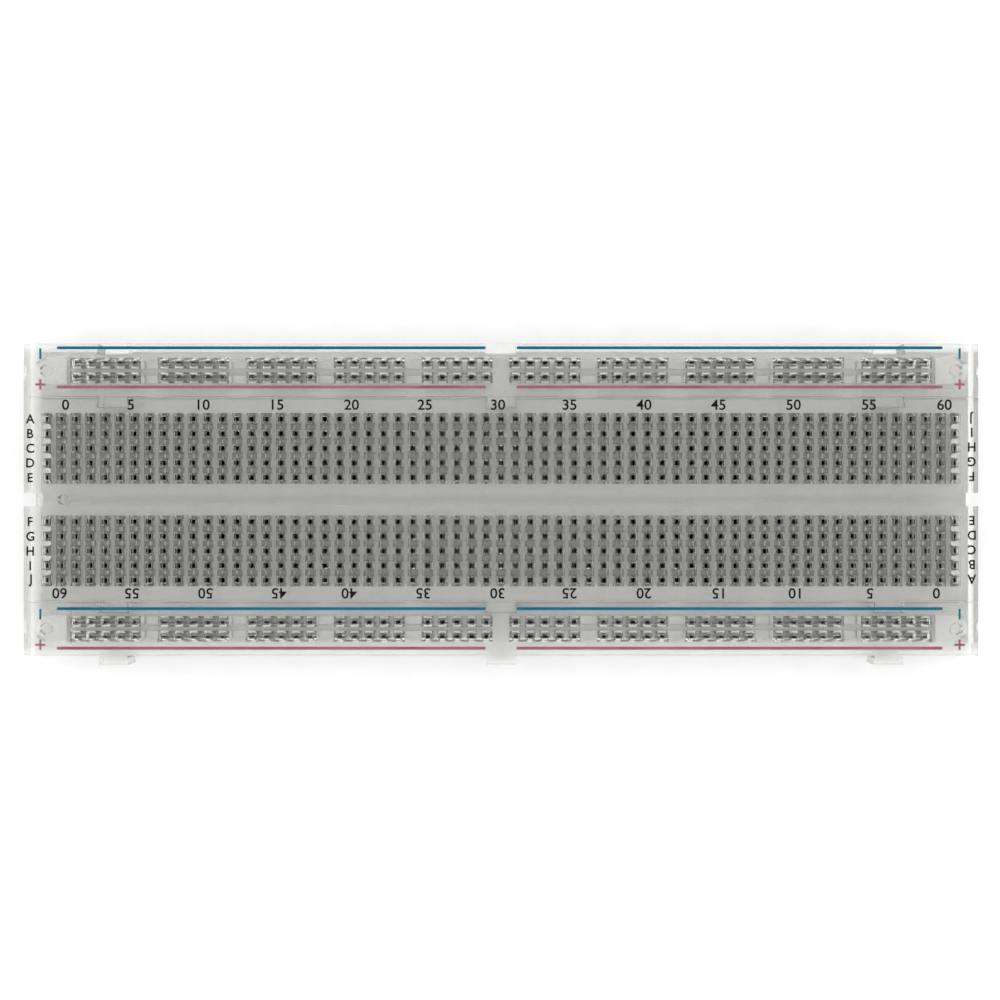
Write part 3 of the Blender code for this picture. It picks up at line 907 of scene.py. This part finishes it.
# %% Lines and signs on the bus strips
INK_GAP = 0.01
INK = 0.03
LINE_HALF = 0.26
CORNER_STEPS = 5
LINE_ENDS = ((-76.8, -2.65), (2.7, 76.35))
SIGN_X = (-79.65, 79.3)
MINUS_LENGTH = 1.87
PLUS_LENGTH = 1.78
SIGN_WIDTH = 0.37
SIGN_ROUNDING = 0.1
LINE_ROUNDING = 0.8 * LINE_HALF
upper_marks = {"blue": 3.86, "rose": -2.92, "minus": 2.83, "plus": -2.47}
lower_marks = {"blue": 3.55, "rose": -3.28, "minus": 2.6, "plus": -2.7}


def bar(low, high, radius):
    """A rectangle with rounded corners: four quarter circles, joined by straight sides."""
    centres = np.array([(high[0] - radius, high[1] - radius), (low[0] + radius, high[1] - radius),
                        (low[0] + radius, low[1] + radius), (high[0] - radius, low[1] + radius)])
    quarter = np.linspace(0, math.pi / 2, CORNER_STEPS)
    angle = (quarter + np.arange(4)[:, None] * math.pi / 2).ravel()
    arcs = np.column_stack((np.cos(angle), np.sin(angle))) * radius
    return arcs + np.repeat(centres, CORNER_STEPS, 0)


def inked(outline):
    """A flat outline as a layer of ink on the top face."""
    return loft([outline, outline], (TOP + INK_GAP, TOP + INK_GAP + INK))


def line_pair(y):
    """The two halves of a printed line."""
    return [inked(bar((left, y - LINE_HALF), (right, y + LINE_HALF), LINE_ROUNDING))
            for left, right in LINE_ENDS]


def cross(x, y, length, width):
    """The outline of a plus sign, counterclockwise."""
    arm = length / 2
    half = width / 2
    quarter = np.array([(half, half), (half, arm), (-half, arm)])
    turns = [((1, 0), (0, 1)), ((0, 1), (-1, 0)), ((-1, 0), (0, -1)), ((0, -1), (1, 0))]
    return np.concatenate([quarter @ np.array(turned) for turned in turns]) + (x, y)


for body, centre_y, marks in (("upper_bus", BUS_CENTRE, upper_marks),
                              ("lower_bus", -BUS_CENTRE, lower_marks)):
    half = np.array((SIGN_WIDTH, MINUS_LENGTH)) / 2
    centres = [np.array((x, centre_y + marks["minus"])) for x in SIGN_X]
    blue = line_pair(centre_y + marks["blue"])
    blue += [inked(bar(centre - half, centre + half, SIGN_ROUNDING)) for centre in centres]
    rose = line_pair(centre_y + marks["rose"])
    rose += [inked(cross(x, centre_y + marks["plus"], PLUS_LENGTH, SIGN_WIDTH)) for x in SIGN_X]
    for name, shapes, ink in (("_minus_print", blue, blue_ink), ("_plus_print", rose, rose_ink)):
        piece = finish_piece(new_object(body + name, joined(shapes)), ink, body)
        print(piece.name, "open edges:", loose_edges(piece.data))

# %% [markdown]
# Numbers and letters start as text objects. Text becomes a mesh first, is measured, and
# only then is scaled and moved, so that the finished piece stays at the origin.

# %% Numbers and letters on the terminal strip
NUMBER_HEIGHT = 1.85
NUMBER_WIDTH = 1.24
LETTER_HEIGHT = 1.6
LETTER_WIDTH = 1.3
NUMBER_BOLDNESS = 0.014
LETTER_BOLDNESS = 0.02
NUMBER_Y = 16.42
LOWER_NUMBER_Y = -16.2
LETTER_X = 81.4
RIGHT_LETTER_RISE = 0.2


def text_shape(words, boldness):
    """Text as a solid one unit thick, at unit size, with its loose caps welded."""
    curve = bpy.data.curves.new("words", "FONT")
    curve.body = words
    curve.align_x = "CENTER"
    curve.align_y = "CENTER"
    curve.resolution_u = 4
    curve.extrude = 0.5
    curve.offset = boldness
    holder = bpy.data.objects.new("words", curve)
    bpy.context.scene.collection.objects.link(holder)
    done = holder.evaluated_get(bpy.context.evaluated_depsgraph_get())
    mesh = bpy.data.meshes.new_from_object(done)
    bpy.data.objects.remove(holder)
    points = np.empty(len(mesh.vertices) * 3)
    mesh.vertices.foreach_get("co", points)
    points = points.reshape(-1, 3)
    unique, index = np.unique(points.round(5), axis=0, return_inverse=True)
    index = index.ravel()
    faces = [index[list(face.vertices)].tolist() for face in mesh.polygons]
    return unique, faces


zero = np.ptp(text_shape("0", NUMBER_BOLDNESS)[0], axis=0)
capital = np.ptp(text_shape("H", LETTER_BOLDNESS)[0], axis=0)


def label(words, x, y, turned, height, width, unit, boldness):
    """Words centred at x, y, scaled from a unit letter's size, perhaps turned half round."""
    points, faces = text_shape(words, boldness)
    points = points * (width / unit[0], height / unit[1], INK)
    middle = (points.min(0) + points.max(0)) / 2
    points = points - middle
    if turned:
        points = points * (-1.0, -1.0, 1.0)
    return points + (x, y, TOP + INK_GAP + INK / 2), faces


top_columns = (1.36, 5.8, 10.76, 15.79, 20.83, 25.81, 30.8, 35.67, 40.73, 45.79, 50.92, 56.05, 61.19)
bottom_columns = (60.64, 56.12, 50.99, 45.79, 40.73, 35.67, 30.75, 25.7, 20.66, 15.9, 10.88, 5.88, 0.95)
numbers = []
for index, (above, below) in enumerate(zip(top_columns, bottom_columns)):
    for column, y, turned in ((above, NUMBER_Y, False), (below, LOWER_NUMBER_Y, True)):
        x = (column - (COLUMNS - 1) / 2) * PITCH
        numbers.append(label(str(5 * index), x, y, turned, NUMBER_HEIGHT, NUMBER_WIDTH, zero,
                             NUMBER_BOLDNESS))
letters = []
for row, letter in enumerate("ABCDEFGHIJ"):
    bank = BANK_CENTRE if row < ROWS else -BANK_CENTRE
    y = bank + row_y[::-1][row % ROWS]
    for x, place, turned in ((-LETTER_X, y, False), (LETTER_X, RIGHT_LETTER_RISE - y, True)):
        letters.append(label(letter, x, place, turned, LETTER_HEIGHT, LETTER_WIDTH, capital,
                             LETTER_BOLDNESS))
for name, shapes in (("column_numbers", numbers), ("row_letters", letters)):
    piece = finish_piece(new_object(name, joined(shapes)), black_ink, "terminal_strip")
    print(name, len(piece.data.polygons), "faces, open edges:", loose_edges(piece.data))

# %% [markdown]
# ## Floor and light
#
# Clear plastic shows what surrounds it, so the room matters as much as the material. The
# floor is pale and brightly lit. The sky is bright all round and darker overhead, where a
# camera and its stand would be: the top faces then reflect little, and the depths show.

# %% Floor
FLOOR_HALF = 3000.0

floor_corners = np.array([(-1, -1, 0), (1, -1, 0), (1, 1, 0), (-1, 1, 0)]) * FLOOR_HALF
floor = new_object("floor", (floor_corners, [[0, 1, 2, 3]]))
floor_paint = new_material("floor_paint", Roughness=0.9)
add_group(floor_paint, mottle, {"First": tint(0.9, 0.9, 0.9), "Second": tint(0.88, 0.88, 0.88)},
          {"Colour": "Base Color"})
floor.data.materials.append(floor_paint)

# %% Sky
SKY_BRIGHT = 1.68
SKY_OVERHEAD = 1.0
FADE_STARTS = 0.7
FADE_ENDS = 0.97

world = bpy.data.worlds.new("studio")
bpy.context.scene.world = world
world.use_nodes = True
sky = world.node_tree
coordinates = sky.nodes.new("ShaderNodeTexCoord")
split = sky.nodes.new("ShaderNodeSeparateXYZ")
fade = sky.nodes.new("ShaderNodeMapRange")
fade.interpolation_type = "SMOOTHSTEP"
fade.inputs["From Min"].default_value = FADE_STARTS
fade.inputs["From Max"].default_value = FADE_ENDS
fade.inputs["To Min"].default_value = SKY_BRIGHT
fade.inputs["To Max"].default_value = SKY_OVERHEAD
sky.links.new(coordinates.outputs["Generated"], split.inputs["Vector"])
sky.links.new(split.outputs["Z"], fade.inputs["Value"])
sky.links.new(fade.outputs["Result"], sky.nodes["Background"].inputs["Strength"])
sky.nodes["Background"].inputs["Color"].default_value = tint(1.0, 1.0, 1.0)
bpy.context.scene.view_settings.view_transform = "Standard"
print("sky", SKY_BRIGHT, "falling to", SKY_OVERHEAD, "overhead")
